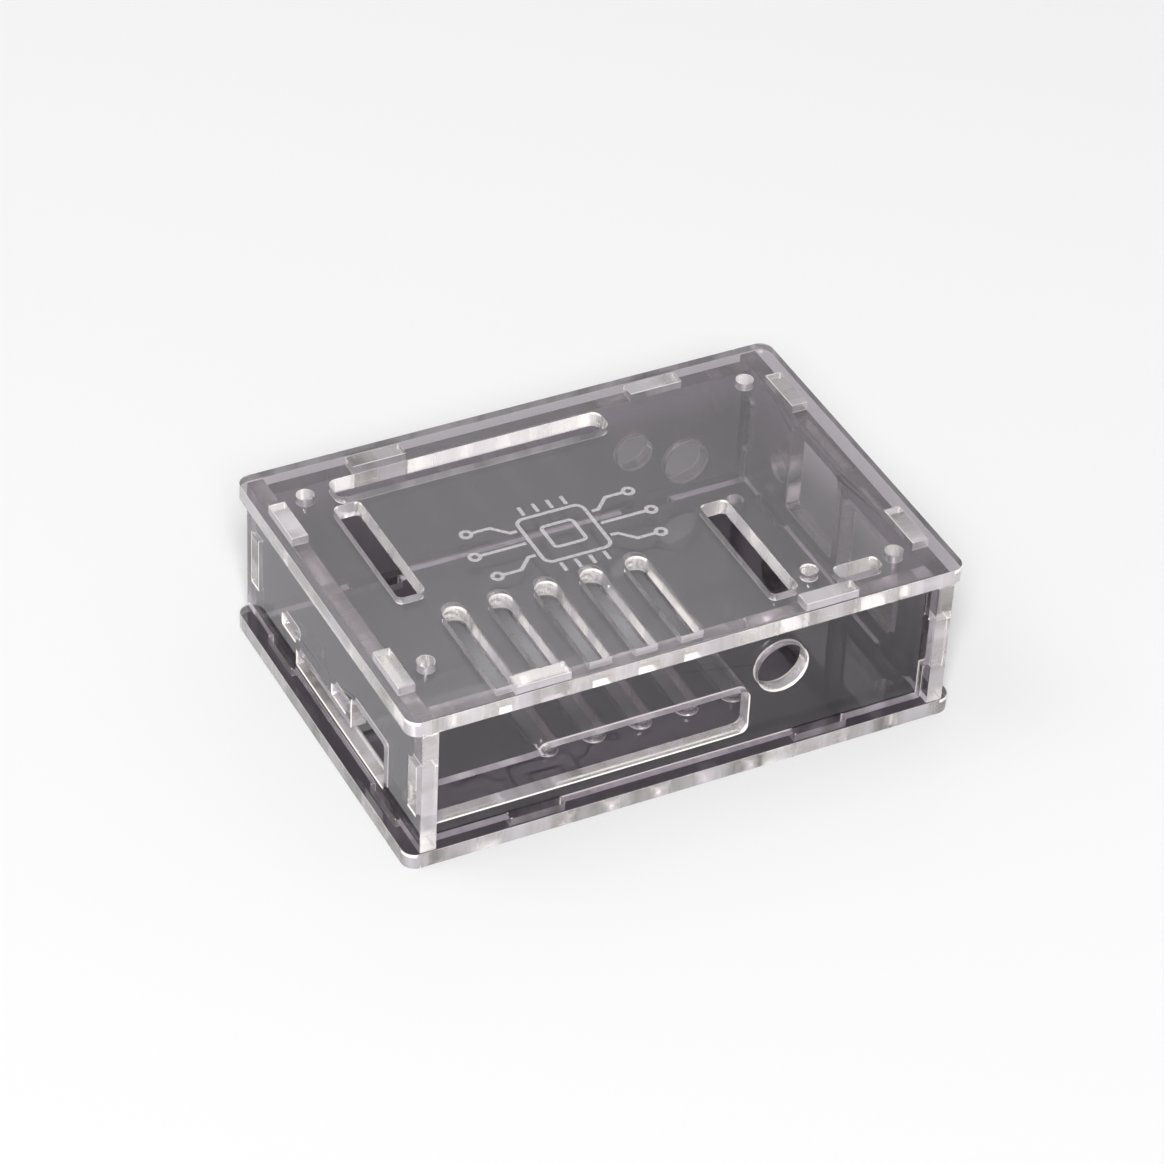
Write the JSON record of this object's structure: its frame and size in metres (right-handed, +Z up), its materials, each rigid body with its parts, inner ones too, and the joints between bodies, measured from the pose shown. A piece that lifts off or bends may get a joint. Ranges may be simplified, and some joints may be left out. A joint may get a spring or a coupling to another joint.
{
  "type": "single board computer case",
  "caption": "Clear flat-sheet case for a single board computer: rounded plates and walls locked by tabs and fingers, with port cut-outs, slots and vents.",
  "frame": {"origin": "centre of the case's footprint, on the surface that it stands on", "axes": "+X along the long side towards the two tall ports, +Y from the front wall to the back wall, +Z up"},
  "size_m": [0.104, 0.072, 0.0315],
  "materials": {
    "clear_acrylic": "clear cast acrylic sheet, polished faces and laser-cut edges"
  },
  "bodies": {
    "root": {"bottom_plate": "clear_acrylic", "top_plate": "clear_acrylic", "front_wall": "clear_acrylic", "back_wall": "clear_acrylic", "left_wall": "clear_acrylic", "right_wall": "clear_acrylic"}
  },
  "joints": []
}
